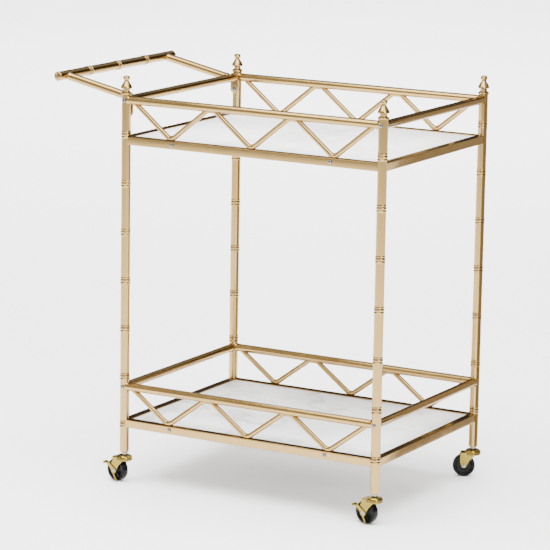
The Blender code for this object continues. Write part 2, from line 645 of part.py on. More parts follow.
def make_brake(corner, swivel):
    """A rocker on the axle, outside the outer leg: a plate, a rolled tab and a flanged release foot."""
    name = f"brake_lever_{corner}"
    hub = Vector((CASTER_TRAIL, FORK_HALF_WIDTH + GAP + BRAKE_SHEET / 2, WHEEL_RADIUS))
    outline = [
        polar(BRAKE_BOSS, BRAKE_TAB_ANGLE, BRAKE_TAB_HALF),
        polar(BRAKE_TAB_REACH, BRAKE_TAB_ANGLE, BRAKE_TAB_HALF),
        polar(BRAKE_TAB_REACH, BRAKE_TAB_ANGLE, -BRAKE_TAB_HALF),
        polar(BRAKE_WAIST * 1.5, BRAKE_TAB_ANGLE, -BRAKE_TAB_HALF),
    ]
    outline += arc(BRAKE_WAIST, 0, radians(-65), 4)
    outline += [
        polar(BRAKE_FOOT_REACH, BRAKE_FOOT_ANGLE, BRAKE_FOOT_HALF),
        polar(BRAKE_FOOT_REACH, BRAKE_FOOT_ANGLE, -BRAKE_FOOT_HALF),
        polar(BRAKE_BOSS, BRAKE_FOOT_ANGLE, -BRAKE_FOOT_HALF),
    ]
    outline += arc(BRAKE_BOSS, radians(-170), radians(-240), 3)
    lever = add_object(name, plate_mesh(name, outline, BRAKE_SHEET), BRASS, hub, parent=swivel)
    roll_x, roll_z = polar(BRAKE_TAB_REACH, BRAKE_TAB_ANGLE)
    roll_middle = hub + Vector((roll_x, 0, roll_z))
    inside, outside = Vector((0, -BRAKE_SHEET / 2, 0)), Vector((0, BRAKE_TAB_STANDOUT, 0))
    join(lever, bar_cutter(f"{name}_roll", roll_middle + inside, roll_middle + outside, BRAKE_ROLL_RADIUS,
                           ROUND_SMALL, swivel))
    low = (BRAKE_FLANGE_START, -BRAKE_SHEET / 2, -BRAKE_FOOT_HALF)
    high = (BRAKE_FOOT_REACH, BRAKE_FOOT_STANDOUT, BRAKE_SHEET - BRAKE_FOOT_HALF)
    foot = box_mesh(f"{name}_foot", low, high)
    join(lever, add_object(foot.name, foot, None, hub, (0, -BRAKE_FOOT_ANGLE, 0), swivel))
    cut(lever, hole_along_y(f"{name}_bore", hub.x, hub.y - BRAKE_BOSS, hub.y + BRAKE_BOSS, hub.z,
                            AXLE_RADIUS + HOLE_CLEARANCE, swivel))


def make_caster(corner):
    swivel = bpy.data.objects.new(f"swivel_{corner}", None)
    swivel.location = POSTS[corner]
    swivel.rotation_euler = (0, 0, radians(SWIVEL_DEGREES[corner]))
    PARTS.objects.link(swivel)
    make_stem(corner)
    make_fork(corner, swivel)
    make_wheel(corner, swivel)
    make_axle(corner, swivel)
    if corner in BRAKED:
        make_brake(corner, swivel)


# ---- screws -------------------------------------------------------------------------------------
def make_screw(name, seat, outward, radius, length):
    """A pan-head screw whose head stands outward along Y from its seat."""
    profile = [
        (0.0, SCREW_HEAD_HEIGHT),
        (SCREW_HEAD_RADIUS * 0.7, SCREW_HEAD_HEIGHT * 0.8),
        (SCREW_HEAD_RADIUS, 0.0),
        (radius, 0.0),
        (radius, -length),
        (0.0, -length),
    ]
    turned(name, profile, ROUND_SMALL, STEEL, seat, (-outward * pi / 2, 0, 0))


def make_screws():
    for corner, place in POSTS.items():
        outward = 1 if place.y > 0 else -1
        for level, rail_z in RAIL_Z.items():
            seat = Vector((place.x, place.y + outward * (POST_RADIUS + GAP), rail_z))
            make_screw(f"post_screw_{level}_{corner}", seat, outward, POST_SCREW_RADIUS, POST_SCREW_LENGTH)
    tab_face = POST_SPAN_Y / 2 - POST_RADIUS - 2 * GAP - TAB_THICKNESS
    for side, sign in SIDES.items():
        seat = Vector((POSTS["front_left"].x, sign * tab_face, RAIL_Z["upper"] - TAB_SCREW_DROP))
        make_screw(f"tab_screw_{side}", seat, -sign, TAB_SCREW_RADIUS, TAB_SCREW_LENGTH)
        face = sign * (TRAY_OUTER_Y + GAP)
        for level, bottom in TRAY_BOTTOM.items():
            for end, end_sign in ENDS.items():
                seat = Vector((CART_X + end_sign * FRAME_SCREW_X, face, bottom + FRAME_SCREW_Z))
                make_screw(f"frame_screw_{level}_{side}_{end}", seat, sign, FRAME_SCREW_RADIUS,
                           FRAME_SCREW_LENGTH)


# ---- the cart -----------------------------------------------------------------------------------
for corner in POSTS:
    make_post(corner)
    make_finial(corner)
    make_caster(corner)
for level in RAIL_Z:
    make_tray_frame(level)
    make_panel(level)
    for side in SIDES:
        make_gallery(level, side)
make_end_rail("upper", "right")
make_end_rail("lower", "left")
make_end_rail("lower", "right")
make_handle_frame()
make_grip()
make_screws()
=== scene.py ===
# %% [markdown]
# # A bar cart in bamboo-look gold tube
#
# The cart is a welded and bolted frame of thin steel tube, plated a pale champagne gold. Two trays
# of square tube hold white marble boards. Zigzag rods under the top rails stop bottles sliding off
# the long sides, a sloping handle stands out from the left end, and it rolls on four small brass
# swivel casters, the front two with brakes.
#
# A CAD model already holds every piece's place, its joints and its collision shapes. This script
# gives each piece its real surface: tubes with turned bamboo joints, coped and welded ends, pressed
# and rounded sheet, recessed screws, and finishes that vary the way plated metal and stone do.
# Everything is in metres, with X along the cart, Y from front to back and Z up from the floor.

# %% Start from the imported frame
from math import cos, pi, radians, sin

import bmesh
import bpy
import numpy as np
from mathutils import Matrix, Vector


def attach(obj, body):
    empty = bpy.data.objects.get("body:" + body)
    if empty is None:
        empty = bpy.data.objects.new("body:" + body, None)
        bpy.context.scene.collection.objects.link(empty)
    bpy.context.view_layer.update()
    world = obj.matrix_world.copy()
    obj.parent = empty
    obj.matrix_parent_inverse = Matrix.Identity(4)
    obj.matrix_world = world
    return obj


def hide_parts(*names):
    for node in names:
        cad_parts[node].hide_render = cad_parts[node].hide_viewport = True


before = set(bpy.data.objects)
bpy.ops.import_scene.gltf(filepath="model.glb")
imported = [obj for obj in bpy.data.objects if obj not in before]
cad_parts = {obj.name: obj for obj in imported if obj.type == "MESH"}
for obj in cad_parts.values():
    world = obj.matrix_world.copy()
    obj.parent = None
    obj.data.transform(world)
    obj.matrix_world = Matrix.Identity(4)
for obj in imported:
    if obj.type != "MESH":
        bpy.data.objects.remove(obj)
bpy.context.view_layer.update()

# %% [markdown]
# ## Sizes
#
# The same driving sizes as the CAD model. The posts' rings stand 96 mm apart, and that pitch, with
# the standard 45 mm caster wheels, fixes the size of everything else.

# %% Sizes
GAP = 0.0003
SPAN_X, SPAN_Y = 0.560, 0.420
CART_X = 0.07575
POST_RADIUS, POST_WALL, GRIP_WALL = 0.009, 0.001, 0.0012
POST_BOTTOM, POST_TOP = 0.0622, 0.772
RING_PITCH, RING_FIRST_Z, RING_COUNT = 0.096, 0.119, 7
RING_RISE = {"front_left": 0.0, "front_right": 0.008, "back_right": 0.018, "back_left": -0.002}
RAIL_RADIUS, ROD_RADIUS = 0.008, 0.0048
RAIL_Z = {"upper": 0.762, "lower": 0.1945}
TRAY_BOTTOM = {"upper": 0.6755, "lower": 0.1125}
TRAY_TUBE, BOARD_THICKNESS = 0.016, 0.0092
OUTER_X, OUTER_Y = SPAN_X / 2 + 0.006, SPAN_Y / 2 + 0.006
HALF_STEP, TOP_FLAT, BOTTOM_FLAT, TOP_DROP = 0.089, 0.018, 0.010, 0.0056
HANDLE_REACH, HANDLE_RISE = 0.158, 0.033
GRIP_HALF, GRIP_RING_STEP = 0.2095, 0.103
WHEEL_RADIUS, TRAIL = 0.0225, 0.0175
SWIVEL = {"front_left": 170, "front_right": 170, "back_right": 210, "back_left": 190}
SIDES = {"front": -1, "back": 1}
ENDS = {"left": -1, "right": 1}
POSTS = {f"{side}_{end}": np.array([CART_X + ENDS[end] * SPAN_X / 2, SIDES[side] * SPAN_Y / 2, 0.0])
         for side in SIDES for end in ENDS}
GRIP = np.array([CART_X - SPAN_X / 2 - HANDLE_REACH, 0.0, RAIL_Z["upper"] + HANDLE_RISE])
print("post centres:", {name: tuple(place.round(3)) for name, place in POSTS.items()})

# %% [markdown]
# ## Surfaces
#
# Nearly every piece here is a tube, a turned piece or a pressed plate. Each is one surface laid on
# a grid, so one rule joins the grid's neighbouring points into faces. A shape is a pair: its
# points, and its faces as lists of point numbers. Shapes are moved and gathered with plain array
# arithmetic and become an object only at the end.

# %% Shapes on a grid
def lattice(points, loop=False):
    """A shape from rings of points: ring i's point j is joined to its neighbours around and along.

    The rings close on themselves. The two ends are closed with flat faces, or the last ring joins
    the first when loop is true.
    """
    rings, around = points.shape[:2]
    number = np.arange(rings * around).reshape(rings, around)
    number = np.concatenate([number, number[:, :1]], axis=1)
    if loop:
        number = np.concatenate([number, number[:1]], axis=0)
    corners = [number[:-1, :-1], number[:-1, 1:], number[1:, 1:], number[1:, :-1]]
    faces = np.stack(corners, axis=-1).reshape(-1, 4).tolist()
    if not loop:
        faces += [number[0, :-1].tolist()[::-1], number[-1, :-1].tolist()]
    return points.reshape(-1, 3), faces


def gather(*shapes):
    """Several shapes as one."""
    points, faces, total = [], [], 0
    for some_points, some_faces in shapes:
        points.append(some_points)
        faces += [[total + corner for corner in face] for face in some_faces]
        total += len(some_points)
    return np.concatenate(points), faces


def moved(shape, matrix):
    """A shape turned and moved by a 4 by 4 matrix."""
    points, faces = shape
    matrix = np.array(matrix)
    return points @ matrix[:3, :3].T + matrix[:3, 3], faces


def at(place, turn=Matrix.Identity(4)):
    """The matrix that turns a shape about the origin and then moves it to a place."""
    return Matrix.Translation(Vector(place)) @ turn


def soften(corners, reach, steps=5, loop=False):
    """A line of corners with each one rounded: a quadratic curve from reach before it to reach after.

    The curve's points are (1-t)^2 a + 2t(1-t) b + t^2 c for t from 0 to 1, where b is the corner.
    The reach shrinks to 45% of the shorter neighbouring side where the corner has no more room.
    """
    corners = np.array(corners, float)
    reaches = np.broadcast_to(np.array(reach, float), (len(corners),))
    t = np.linspace(0, 1, steps + 1)[:, None]
    last = len(corners) - 1
    line = []
    for index, here in enumerate(corners):
        if not loop and index in (0, last):
            line.append(here[None])
            continue
        before, after = corners[index - 1], corners[(index + 1) % len(corners)]
        sides = np.linalg.norm(before - here), np.linalg.norm(after - here)
        short = min(reaches[index], 0.45 * min(sides))
        start = here + (before - here) * short / sides[0]
        end = here + (after - here) * short / sides[1]
        line.append((1 - t) ** 2 * start + 2 * t * (1 - t) * here + t ** 2 * end)
    return np.concatenate(line)


def turned(profile, sides=48, loop=False):
    """A shape turned about Z: each (radius, height) of the profile becomes a ring.

    A point of the ring is (radius cos a, radius sin a, height), for a from 0 to a whole turn.
    """
    profile = np.array(profile, float)
    angle = np.linspace(0, 2 * pi, sides, endpoint=False)
    radius, height = profile[:, :1], profile[:, 1:]
    rings = np.stack([radius * np.cos(angle), radius * np.sin(angle), height + 0 * angle], axis=-1)
    return lattice(rings, loop=loop)


def tube(path, radius, normal, sides):
    """A round bar along a line that lies in a plane: each station is a circle square to the line.

    A point is centre + radius (cos a * normal + sin a * side), where side is the cross product of
    the line's direction and the plane's normal.
    """
    path, normal = np.array(path, float), np.array(normal, float)
    along = np.gradient(path, axis=0)
    along /= np.linalg.norm(along, axis=1, keepdims=True)
    side = np.cross(along, normal)
    angle = np.linspace(0, 2 * pi, sides, endpoint=False)[:, None]
    reach = np.broadcast_to(np.array(radius, float), (len(path),))[:, None, None]
    rings = path[:, None] + reach * (np.cos(angle) * normal + np.sin(angle) * side[:, None])
    return lattice(rings)


def plate(outline, thickness, edge=0.0004):
    """A pressed plate: an outline in X and Z, thick across Y, with its edges rounded over.

    Around the rim a quarter circle runs from the face, where the outline is drawn in by the edge
    radius, to the full outline, and a second one runs back to the other face.
    """
    outline = np.array(outline, float)
    step = np.roll(outline, -1, axis=0) - np.roll(outline, 1, axis=0)
    inward = np.stack([-step[:, 1], step[:, 0]], axis=1) / np.linalg.norm(step, axis=1, keepdims=True)
    area = np.sum(outline[:, 0] * np.roll(outline[:, 1], -1) - outline[:, 1] * np.roll(outline[:, 0], -1))
    inward *= np.sign(area)
    turn = np.linspace(0, pi / 2, 4)
    drawn_in = edge * (1 - np.sin(turn))
    depth = edge * (1 - np.cos(turn)) - thickness / 2
    drawn_in = np.concatenate([drawn_in, drawn_in[::-1]])[:, None, None]
    depth = np.concatenate([depth, -depth[::-1]])
    flat = outline[None] + drawn_in * inward[None]
    y = np.broadcast_to(depth[:, None], flat.shape[:2])
    return lattice(np.stack([flat[..., 0], y, flat[..., 1]], axis=-1))


def rounded_block(low, high, edge):
    """A block between two corners, with every edge rounded: a plate with a rounded outline."""
    low, high = np.array(low, float), np.array(high, float)
    corners = [(low[0], low[2]), (high[0], low[2]), (high[0], high[2]), (low[0], high[2])]
    block = plate(soften(corners, edge, 4, loop=True), high[1] - low[1], edge)
    return moved(block, at((0, (low[1] + high[1]) / 2, 0)))


def arc(radius, start, end, steps):
    """Points (x, z) on a circle about the origin, from one angle in degrees to another."""
    angle = np.radians(np.linspace(start, end, steps + 1))
    return np.stack([radius * np.cos(angle), radius * np.sin(angle)], axis=1)


ROUND_POST, ROUND_RAIL, ROUND_ROD = 56, 40, 28
print("sides of a turned piece, a rail and a rod:", ROUND_POST, ROUND_RAIL, ROUND_ROD)

# %% [markdown]
# ## Finishes
#
# **Champagne gold.** The tube is steel, polished, nickel plated and then flashed with a thin, pale
# gold lacquered plate. The reflections are sharp but not perfect: polishing leaves long faint
# ripples, the lacquer has a slight orange peel, and handling leaves patches that scatter a little
# more light. Creases carry painted shade, a dark colour mixed in. **Brass** on the casters is a stronger
# yellow.
# **Zinc** on screws and stems is cooler and greyer. The **marble** boards are white with soft grey
# clouds and thin branching veins. The **wheels** are glossy black nylon, duller on the tread.

# %% Finishes
def node_maker(name):
    """A new material and two short helpers, one to add a node and one to link two sockets."""
    made = bpy.data.materials.new(name)
    made.use_nodes = True
    tree = made.node_tree

    def add(kind, **values):
        node = tree.nodes.new(kind)
        for key, value in values.items():
            if hasattr(node, key):
                setattr(node, key, value)
            else:
                node.inputs[key.replace("_", " ")].default_value = value
        return node

    return made, tree.nodes["Principled BSDF"], add, tree.links.new


def ramp(add, link, source, stops):
    """A colour ramp on a value: stops are (position, grey or colour)."""
    node = add("ShaderNodeValToRGB")
    elements = node.color_ramp.elements
    while len(elements) < len(stops):
        elements.new(0.5)
    for element, (position, colour) in zip(elements, stops):
        element.position = position
        element.color = (colour,) * 3 + (1,) if isinstance(colour, float) else (*colour, 1)
    link(source, node.inputs["Fac"])
    return node.outputs["Color"]


def plated(name, colour, painted_shade_colour, roughness, ripple=(1, 1, 1), peel=0.02):
    """Plated metal: patchy roughness, faint polishing ripples, orange peel and painted shade in creases."""
    made, shader, add, link = node_maker(name)
    place = add("ShaderNodeTexCoord").outputs["Object"]
    patches = add("ShaderNodeTexNoise", Scale=9.0, Detail=5.0, Roughness=0.62)
    link(place, patches.inputs["Vector"])
    smudge = add("ShaderNodeTexNoise", Scale=55.0, Detail=3.0, Roughness=0.7)
    link(place, smudge.inputs["Vector"])
    both = add("ShaderNodeMath", operation="MULTIPLY")
    link(patches.outputs["Fac"], both.inputs[0])
    link(smudge.outputs["Fac"], both.inputs[1])
    dull = add("ShaderNodeMapRange", From_Min=0.12, From_Max=0.42, To_Min=roughness * 0.75,
               To_Max=roughness * 1.5)
    link(both.outputs[0], dull.inputs["Value"])
    link(dull.outputs["Result"], shader.inputs["Roughness"])
    tint = ramp(add, link, patches.outputs["Fac"],
                [(0.30, tuple(c * 0.94 for c in colour)), (0.70, colour)])
    # Painted shade: where a piece's per-point shade value is set, the colour is mixed towards the dark shade
    # colour.
    painted_shade = add("ShaderNodeAttribute", attribute_name="painted_shade")
    shade = add("ShaderNodeMix", data_type="RGBA")
    link(painted_shade.outputs["Fac"], shade.inputs["Factor"])
    link(tint, shade.inputs[6])
    shade.inputs[7].default_value = (*painted_shade_colour, 1)
    link(shade.outputs[2], shader.inputs["Base Color"])
    stretch = add("ShaderNodeMapping", vector_type="POINT")
    stretch.inputs["Scale"].default_value = ripple
    link(place, stretch.inputs["Vector"])
    ripples = add("ShaderNodeTexNoise", Scale=60.0, Detail=2.0)
    link(stretch.outputs["Vector"], ripples.inputs["Vector"])
    fine = add("ShaderNodeTexNoise", Scale=900.0, Detail=2.0)
    link(place, fine.inputs["Vector"])
    wave = add("ShaderNodeBump", Strength=0.05, Distance=0.0006)
    link(ripples.outputs["Fac"], wave.inputs["Height"])
    grain = add("ShaderNodeBump", Strength=peel, Distance=0.0002)
    link(fine.outputs["Fac"], grain.inputs["Height"])
    link(wave.outputs["Normal"], grain.inputs["Normal"])
    link(grain.outputs["Normal"], shader.inputs["Normal"])
    shader.inputs["Metallic"].default_value = 1.0
    return made


def marble(name, veining):
    """Polished stone: grey clouds, and veins where a warped noise crosses its middle value."""
    made, shader, add, link = node_maker(name)
    place = add("ShaderNodeTexCoord").outputs["Object"]
    warp = add("ShaderNodeTexNoise", Scale=3.2, Detail=5.0, Roughness=0.6)
    link(place, warp.inputs["Vector"])
    pull = add("ShaderNodeVectorMath", operation="SCALE", Scale=0.42)
    link(warp.outputs["Color"], pull.inputs[0])
    bent = add("ShaderNodeVectorMath", operation="ADD")
    link(place, bent.inputs[0])
    link(pull.outputs["Vector"], bent.inputs[1])
    colour = None
    layers = ((2.2, 0.020, 0.42), (5.5, 0.012, 0.24), (13.0, 0.010, 0.12))
    for scale, width, depth in layers:
        noise = add("ShaderNodeTexNoise", Scale=scale, Detail=4.0, Roughness=0.5)
        link(bent.outputs["Vector"], noise.inputs["Vector"])
        middle = add("ShaderNodeMath", operation="SUBTRACT")
        link(noise.outputs["Fac"], middle.inputs[0])
        middle.inputs[1].default_value = 0.5
        ridge = add("ShaderNodeMath", operation="ABSOLUTE")
        link(middle.outputs[0], ridge.inputs[0])
        vein = ramp(add, link, ridge.outputs[0],
                    [(0.0, 1 - depth * veining), (width, 1 - depth * veining * 0.25), (width * 4, 1.0)])
        if colour is None:
            colour = vein
            continue
        mix = add("ShaderNodeMix", data_type="RGBA", blend_type="MULTIPLY")
        mix.inputs["Factor"].default_value = 1.0
        link(colour, mix.inputs[6])
        link(vein, mix.inputs[7])
        colour = mix.outputs[2]
    cloud = add("ShaderNodeTexNoise", Scale=4.0, Detail=6.0, Roughness=0.65)
    link(bent.outputs["Vector"], cloud.inputs["Vector"])
    body = ramp(add, link, cloud.outputs["Fac"],
                [(0.30, (0.80, 0.80, 0.81)), (0.55, (0.89, 0.89, 0.885)), (0.80, (0.92, 0.92, 0.915))])
    final = add("ShaderNodeMix", data_type="RGBA", blend_type="MULTIPLY")
    final.inputs["Factor"].default_value = 1.0
    link(colour, final.inputs[6])
    link(body, final.inputs[7])
    link(final.outputs[2], shader.inputs["Base Color"])
    polish = add("ShaderNodeMapRange", From_Min=0.3, From_Max=0.7, To_Min=0.16, To_Max=0.30)
    link(cloud.outputs["Fac"], polish.inputs["Value"])
    link(polish.outputs["Result"], shader.inputs["Roughness"])
    pits = add("ShaderNodeTexNoise", Scale=420.0, Detail=3.0)
    link(place, pits.inputs["Vector"])
    relief = add("ShaderNodeBump", Strength=0.03, Distance=0.0002)
    link(pits.outputs["Fac"], relief.inputs["Height"])
    link(relief.outputs["Normal"], shader.inputs["Normal"])
    return made


def nylon(name):
    """Glossy black moulded nylon with a fine grain and dull, dusty patches."""
    made, shader, add, link = node_maker(name)
    place = add("ShaderNodeTexCoord").outputs["Object"]
    dust = add("ShaderNodeTexNoise", Scale=70.0, Detail=6.0, Roughness=0.7)
    link(place, dust.inputs["Vector"])
    link(ramp(add, link, dust.outputs["Fac"], [(0.35, 0.0012), (0.75, 0.006)]),
         shader.inputs["Base Color"])
    dull = add("ShaderNodeMapRange", From_Min=0.35, From_Max=0.7, To_Min=0.16, To_Max=0.38)
    link(dust.outputs["Fac"], dull.inputs["Value"])
    link(dull.outputs["Result"], shader.inputs["Roughness"])
    grain = add("ShaderNodeTexNoise", Scale=1600.0, Detail=2.0)
    link(place, grain.inputs["Vector"])
    relief = add("ShaderNodeBump", Strength=0.08, Distance=0.0001)
    link(grain.outputs["Fac"], relief.inputs["Height"])
    link(relief.outputs["Normal"], shader.inputs["Normal"])
    shader.inputs["Specular IOR Level"].default_value = 0.15
    return made


# The second colour of each plated finish is the painted shade for its creases and recesses.
FINISH = {
    "champagne_gold": plated("champagne gold", (0.43, 0.285, 0.105), (0.08, 0.042, 0.012), 0.15),
    "polished_brass": plated("polished brass", (0.28, 0.205, 0.045), (0.04, 0.028, 0.008), 0.10),
    "zinc_steel": plated("bright zinc", (0.34, 0.325, 0.31), (0.008, 0.007, 0.006), 0.20),
    "black_wheel": nylon("black nylon"),
}
MARBLE = {"upper": marble("marble upper", 0.25), "lower": marble("marble lower", 0.7)}
print("finishes:", [finish.name for finish in (*FINISH.values(), *MARBLE.values())])

# %% [markdown]
# ## From shape to piece
#
# A finished piece hides the CAD nodes it stands for, hangs on the body it moves with and takes
# its finish from its slot. Smooth shading runs over gentle bends and stops at real edges.

# %% Making a piece
SHARP_ANGLE = radians(38)


def piece(name, shape, slot, body="cart", stands_for=(), finish=None, painted_shade=None):
    """An object made of a shape, on its body and with its slot's finish; the last argument gives painted
    shade, one value for each point.
    """
    points, faces = shape
    name = name.replace(" ", "_")
    mesh = bpy.data.meshes.new(name)
    mesh.from_pydata(points.tolist(), [], faces)
    form = bmesh.new()
    form.from_mesh(mesh)
    bmesh.ops.recalc_face_normals(form, faces=form.faces)
    form.to_mesh(mesh)
    form.free()
    mesh.shade_smooth()
    mesh.set_sharp_from_angle(angle=SHARP_ANGLE)
    # Painted shade: each point's amount of darkening is kept in a point attribute for the finish.
    if painted_shade is not None:
        layer = mesh.attributes.new("painted_shade", "FLOAT", "POINT")
        layer.data.foreach_set("value", np.ascontiguousarray(painted_shade, np.float32))
    mesh.materials.append(finish or FINISH[slot])
    made = bpy.data.objects.new(name, mesh)
    bpy.context.scene.collection.objects.link(made)
    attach(made, body)
    if stands_for:
        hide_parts(*stands_for)
    return made


# %% [markdown]
# ## Posts with bamboo joints
#
# A maker rolls the joints into the tube: a bead pushed out in the middle, a narrow groove on each
# side of it, and a lesser bead beyond each groove. The outside radius is the tube's radius plus a
# sum of bell curves, one for each bead and, taken away, one for each groove. The profile is sampled
# closely at the joints and only at their ends between them.

# %% Posts
BEADS = ((0.0, 0.0018, 0.00075), (-0.0052, 0.0011, 0.0009), (0.0052, 0.0011, 0.0007))
GROOVES = ((-0.0030, 0.00055, 0.0007), (0.0030, 0.00055, 0.0007))
JOINT_HALF, JOINT_STEPS = 0.0085, 44


def bell(height, centre, width):
    """A bell curve: 1 at its centre and near 0 at twice its width from it."""
    return np.exp(-((height - centre) / width) ** 2)


def jointed_tube(low, high, joints, radius, wall):
    """The closed profile of a tube with joints, and how much painted shade each of its points gets in the
    grooves.
    """
    z = np.concatenate([[low, high]] + [joint + np.linspace(-JOINT_HALF, JOINT_HALF, JOINT_STEPS)
                                        for joint in joints])
    z = np.sort(z)
    outside = np.full_like(z, radius)
    # Painted shade: the finish darkens in each groove, by a bell a little wider than the groove.
    groove_shade = np.zeros_like(z)
    for joint in joints:
        for centre, width, height in BEADS:
            outside += height * bell(z, joint + centre, width)
        for centre, width, depth in GROOVES:
            outside -= depth * bell(z, joint + centre, width)
            groove_shade += bell(z, joint + centre, width * 1.25)
    bore = [(radius - wall, high), (radius - wall, low)]
    profile = np.concatenate([np.stack([outside, z], axis=1), bore])
    return profile, np.concatenate([0.75 * groove_shade, [0, 0]])


def jointed_piece(name, profile, shade_amounts, matrix, stands_for):
    """A jointed tube as a gold piece, with its painted groove shade repeated around each ring."""
    shape = moved(turned(profile, ROUND_POST, loop=True), matrix)
    piece(name, shape, "champagne_gold", painted_shade=np.repeat(shade_amounts, ROUND_POST), stands_for=stands_for)


for corner, place in POSTS.items():
    joints = RING_FIRST_Z + RING_RISE[corner] + RING_PITCH * np.arange(RING_COUNT)
    profile, shade_amounts = jointed_tube(POST_BOTTOM, POST_TOP, joints, POST_RADIUS, POST_WALL)
    jointed_piece(f"bamboo post {corner}", profile, shade_amounts, at(place), [f"post_{corner}"])
print("posts:", len(POSTS), "with", len(joints), "joints each")

# %% [markdown]
# ## Finials
#
# Each post ends in a turned brass finial, gold plated like the tube: a collar on the post, a short
# neck, a bell that flares down to a thin rim, and a small ball. It is cut on a lathe, so its whole
# form is one profile.

# %% Finials
finial_corners = [
    (0.0005, 0.0374), (0.0038, 0.0369), (0.0062, 0.0351), (0.0070, 0.0328), (0.0066, 0.0306),
    (0.0053, 0.0289), (0.0045, 0.0280), (0.0044, 0.0271), (0.0051, 0.0256), (0.0069, 0.0228),
    (0.0088, 0.0198), (0.0103, 0.0168), (0.0112, 0.0146), (0.0113, 0.0134), (0.0106, 0.0126),
    (0.0076, 0.0121), (0.0067, 0.0112), (0.0066, 0.0078), (0.0071, 0.0064), (0.0091, 0.0051),
    (0.0107, 0.0038), (0.0108, 0.0024), (0.0103, 0.0010), (0.0091, 0.0003), (0.0076, 0.0001),
    (0.0076, -0.0058), (0.0005, -0.0060),
]
finial_profile = soften(finial_corners, 0.0009, 4)
# Painted shade darkens the finish just under the bell and just under the ball.
shade_under_bell, shade_under_ball = (0.0118, 0.0010), (0.0275, 0.0007)
finial_shade = bell(finial_profile[:, 1], *shade_under_bell) + bell(finial_profile[:, 1], *shade_under_ball)
for corner, place in POSTS.items():
    shape = moved(turned(finial_profile, ROUND_POST), at(place + [0, 0, POST_TOP]))
    piece(f"finial {corner}", shape, "champagne_gold", stands_for=[f"finial_{corner}"],
          painted_shade=np.repeat(0.6 * finial_shade, ROUND_POST))
print("finial profile points:", len(finial_profile))

# %% [markdown]
# ## Rails with coped ends
#
# A tube that meets a round post is coped: its end is cut to the post's curve, so the two touch all
# the way round before they are welded. At an angle a around the rail, the end stops short of the
# post's axis by sqrt(R^2 - s^2), where s is the point's sideways distance from the axis. Close to
# the post the radius swells a little, which is the weld's fillet, dressed smooth before plating.

# %% Rails
FILLET, FILLET_REACH, LET_IN = 0.0011, 0.0016, 0.0002
ROD_BEND, ROD_RUN_ON = 0.0042, 0.05


def coped_rail(start, end, sideways):
    """A tube between two post axes; sideways is the level direction across the rail."""
    start, end, sideways = (np.array(v, float) for v in (start, end, sideways))
    length = np.linalg.norm(end - start)
    along = (end - start) / length
    upward = np.cross(along, sideways)
    angle = np.linspace(0, 2 * pi, ROUND_RAIL, endpoint=False)
    near = np.concatenate([[0, 0.0006, 0.0012, 0.002, 0.003, 0.0045, 0.008], [0.3 * length]])
    distance = np.concatenate([near, length - 2 * POST_RADIUS - near[::-1]])
    from_end = np.minimum(distance, length - 2 * POST_RADIUS - distance)
    reach = RAIL_RADIUS + FILLET * np.exp(-from_end / FILLET_REACH)
    across = reach[:, None] * np.cos(angle)
    room = np.sqrt(np.maximum(POST_RADIUS ** 2 - across ** 2, 0)) - LET_IN
    share = (distance / distance[-1])[:, None]
    position = room * (1 - share) + (length - room) * share
    rings = (start + position[..., None] * along + across[..., None] * sideways
             + (reach[:, None] * np.sin(angle))[..., None] * upward)
    return lattice(rings)


def bent_rod(level, y):
    """The zigzag: flats let into the rail and resting on the tray, joined by slopes through bends.

    The end slopes run straight on into the rail beside the posts, by a share of their own length.
    """
    top = RAIL_Z[level] - TOP_DROP
    bottom = TRAY_BOTTOM[level] + TRAY_TUBE + ROD_RADIUS - LET_IN
    corners = []
    for number in range(-3, 4):
        x = CART_X + number * HALF_STEP
        z, half_flat = (top, TOP_FLAT / 2) if number % 2 else (bottom, BOTTOM_FLAT / 2)
        corners += [(x - half_flat, y, z), (x + half_flat, y, z)]
    first, last = np.array(corners[1]), np.array(corners[-2])
    slope = np.array([HALF_STEP - (TOP_FLAT + BOTTOM_FLAT) / 2, 0, bottom - top]) * ROD_RUN_ON
    corners[:2] = [first - slope]
    corners[-2:] = [last - slope * [-1, 1, 1]]
    return tube(soften(corners, ROD_BEND, 10), ROD_RADIUS, (0, 1, 0), ROUND_ROD)


for level, z in RAIL_Z.items():
    for side, sign in SIDES.items():
        y = sign * SPAN_Y / 2
        left, right = (CART_X - SPAN_X / 2, y, z), (CART_X + SPAN_X / 2, y, z)
        piece(f"long rail {level} {side}", coped_rail(left, right, (0, 1, 0)), "champagne_gold",
              stands_for=[f"gallery_{level}_{side}"])
        piece(f"zigzag rod {level} {side}", bent_rod(level, y), "champagne_gold")
    for end, sign in ENDS.items():
        if (level, end) == ("upper", "left"):
            continue
        x = CART_X + sign * SPAN_X / 2
        rail = coped_rail((x, -SPAN_Y / 2, z), (x, SPAN_Y / 2, z), (1, 0, 0))
        piece(f"end rail {level} {end}", rail, "champagne_gold",
              stands_for=[f"end_rail_{level}_{end}"])
print("long rails: 4, zigzag rods: 4, end rails: 3")

# %% [markdown]
# ## The handle
#
# Two arms leave the left end rail 27 mm inside the posts and climb to a grip that is jointed like
# the posts. The rail carries a flat tab at each end. A screw through the post holds the tab's top
# and a small one holds its foot, so the whole handle unbolts for shipping.

